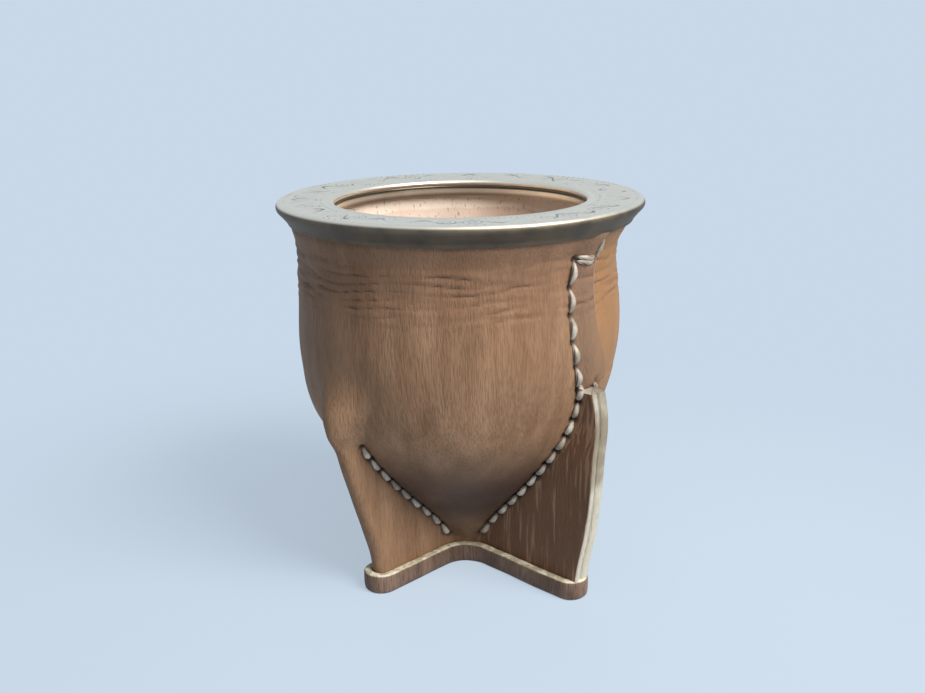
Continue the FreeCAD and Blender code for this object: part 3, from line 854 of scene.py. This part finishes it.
def band_ring(grow, height):
    """Outline round the four feet, moved outwards by grow."""
    points = []
    for fin, azimuth in FINS.items():
        reach = SEAM_FOOT if fin == SEAM_FIN else FOLD_FOOT
        half = FIN_HALF + grow
        tip = round_tip(reach + grow, half, 0)
        section = fin_section(FOOT_CORE + grow, FOOT_FILLET - grow, half, 0, tip, (12, 12))
        for out, across in section:
            wobble = UNEVEN * noise.noise(Vector((out * 0.12, azimuth, across * 0.3)))
            point = direction(azimuth) * out + sideways(azimuth) * (across * (1 + wobble / 2))
            points.append(Vector((point.x, point.y, height)))
    return points


bm = bmesh.new()
section = [(BAND_FIT, 0.1), (BAND_FIT, 2.6), (BAND_FIT, BAND_HEIGHT - 0.15), (0.35, BAND_HEIGHT),
           (BAND_THICKNESS - 0.45, BAND_HEIGHT), (BAND_THICKNESS - 0.08, BAND_HEIGHT - 0.3),
           (BAND_THICKNESS, BAND_HEIGHT - 0.9), (BAND_THICKNESS, 3.0), (BAND_THICKNESS, 1.4),
           (BAND_THICKNESS - 0.15, 0.5), (BAND_THICKNESS - 0.6, 0.0), (0.5, 0.0)]
cut_layer = bm.verts.layers.float.new("cut_edge")
rows = extruded_rings(bm, [band_ring(grow, height) for grow, height in section])
ends = [edge for edge in bm.edges if edge.is_boundary]
bmesh.ops.bridge_loops(bm, edges=ends)
outward(bm)
for place in (2, 3, 4):
    for vert in rows[place]:
        vert[cut_layer] = 1
for vert in rows[5]:
    vert[cut_layer] = 0.55
level_edges = [edge for edge in bm.edges if abs(edge.verts[0].co.z - edge.verts[1].co.z) < 0.01
               and edge.calc_length() > 1.2]
bmesh.ops.subdivide_edges(bm, edges=level_edges, cuts=1, use_grid_fill=True)
band_material, tree, colour, height, out = mottled_leather(
    "band_leather_skin", 0.12, linear(142, 117, 101), linear(86, 68, 57), 0.45)
place = node(tree, "ShaderNodeTexCoord").outputs["Object"]
fibres = node(tree, "ShaderNodeTexNoise", {"Vector": place, "Scale": 500.0, "Detail": 3.0})
pale = mix_colour(tree, ranged(tree, fibres.outputs["Fac"], 0.4, 0.6),
                  linear(176, 166, 140), linear(222, 216, 194))
colour = mix_colour(tree, layered(tree, "cut_edge", 0.5, 0.8), colour, pale)
rough = layered(tree, "cut_edge", 0.5, 0.9, 0.5, 0.85)
leather_finish(tree, out, colour, rough, height, 0.0002)
band = finished("foot_band_wrap", bm, band_material, 50)
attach(band, "root")
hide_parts("foot_band")


# ---------------------------------------------------------------- lacing
# Waxed two-ply thread. Every stitch lies in a crease or on the seam and dives into the leather
# at both ends, so each run is a chain of short plump lenses, no two quite the same.
STITCH_HALF_WIDTH = 0.88
STITCH_HALF_HEIGHT = 0.72
lace_material, out = new_material("waxed_thread")
tree = lace_material.node_tree
place = node(tree, "ShaderNodeTexCoord").outputs["Object"]
grime = node(tree, "ShaderNodeTexNoise", {"Vector": place, "Scale": 260.0, "Detail": 4.0})
hairs = node(tree, "ShaderNodeTexNoise", {"Vector": place, "Scale": 2600.0, "Detail": 2.0})
colour = mix_colour(tree, ranged(tree, grime.outputs["Fac"], 0.36, 0.66),
                    linear(142, 130, 116), linear(188, 180, 168))
# painted shade in the groove between the two plies and at the ends, where the thread dives into the leather
colour = mix_colour(tree, layered(tree, "ply", 0.1, 0.9, 0.0, 0.85), colour, linear(48, 40, 35))
bump = node(tree, "ShaderNodeBump", {"Strength": 0.5, "Distance": 0.0001, "Height": hairs.outputs["Fac"]})
thread = node(tree, "ShaderNodeBsdfPrincipled", {"Base Color": colour, "Roughness": 0.62,
              "Normal": bump.outputs[0]})
tree.links.new(thread.outputs[0], out.inputs["Surface"])


def stitch(bm, start, end, away, plump=1.0, twist=0.9, dive=1.0):
    """One lens of two plies from hole to hole, bowed along the way out of the leather."""
    middle, span = (start + end) / 2, end - start
    along = span.normalized()
    away = (away - along * away.dot(along)).normalized()
    side = along.cross(away)
    made = bmesh.ops.create_uvsphere(bm, u_segments=14, v_segments=12, radius=1)["verts"]
    ply = bm.verts.layers.float["ply"]
    for vert in made:
        x, y, z = vert.co
        turn = math.atan2(y, x) + twist * z
        crease = math.exp(-(math.sin(turn) / 0.32) ** 2) * math.sqrt(max(0, 1 - z * z))
        # the ply layer carries the painted shade of the groove and of the ends
        vert[ply] = max(crease, eased(0.72, 0.97, abs(z)))
        size = plump * (1 - 0.2 * crease) * (1 - 0.35 * z * z)
        vert.co = (middle + along * (z * span.length * 0.475) + side * (x * STITCH_HALF_WIDTH * size)
                   + away * (y * STITCH_HALF_HEIGHT * size + 0.6 * dive * (1 - 2.1 * z * z)))


def lacing(name, replaced, runs_of, extra=()):
    """One lace: a stitch from each hole of its runs to the next, and any extra stitches."""
    bm = bmesh.new()
    bm.verts.layers.float.new("ply")
    for run in runs_of:
        for number, (low, high) in enumerate(zip(run, run[1:])):
            lift = noise.noise(low[0] * 0.7)
            stitch(bm, low[0], high[0], low[1] + high[1], 1 + 0.16 * lift, 0.9 + 0.8 * lift)
    for piece in extra:
        stitch(bm, *piece)
    outward(bm)
    made = finished(name, bm, lace_material)
    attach(made, "root")
    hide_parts(replaced)


FACES = {"front_right": ("front", "right"), "back_right": ("right", "back"),
         "back_left": ("back", "left"), "front_left": ("left", "front")}
for fin, faces in FACES.items():
    for face, side in zip(faces, (-1, 1)):
        if (fin, side) != (SEAM_FIN, -1):
            lacing(f"stitches_{fin}_{face}", f"lace_{fin}_{face}_face", [runs[fin, side]])

# The side seam goes on from the fin's front crease, and ends in a turned pair and a tail by the rim
top_point, top_away, _ = runs["seam", 0][-1]
turn_height = top_point.z
lap_edge = through(LAP_LINE, turn_height)


def on_lap(azimuth, height, lift):
    """Point on the body, lifted by the lap's thickness or a share of it."""
    reach = body_radius(height, azimuth) + lift
    return direction(azimuth) * reach + Vector((0, 0, height))


turned = [
    (on_lap(lap_edge - 9.5, turn_height + 0.6, 0.3), on_lap(lap_edge - 0.2, turn_height - 0.4, LAP_RISE),
     top_away, 0.78, 2.4, 0.8),
    (on_lap(lap_edge - 9.5, turn_height - 0.5, 0.3), on_lap(lap_edge - 0.2, turn_height - 1.4, LAP_RISE),
     top_away, 0.78, 2.4, 0.8),
    (on_lap(lap_edge - 0.2, turn_height - 1.0, 0.9), on_lap(lap_edge + 0.4, 95.4, 0.5),
     top_away, 0.75, 2.0, 0.35),
]
bridge = [runs[SEAM_FIN, -1][-1], runs["seam", 0][0]]
lacing("stitches_side_seam", "lace_side_seam", [runs[SEAM_FIN, -1], bridge, runs["seam", 0]], turned)
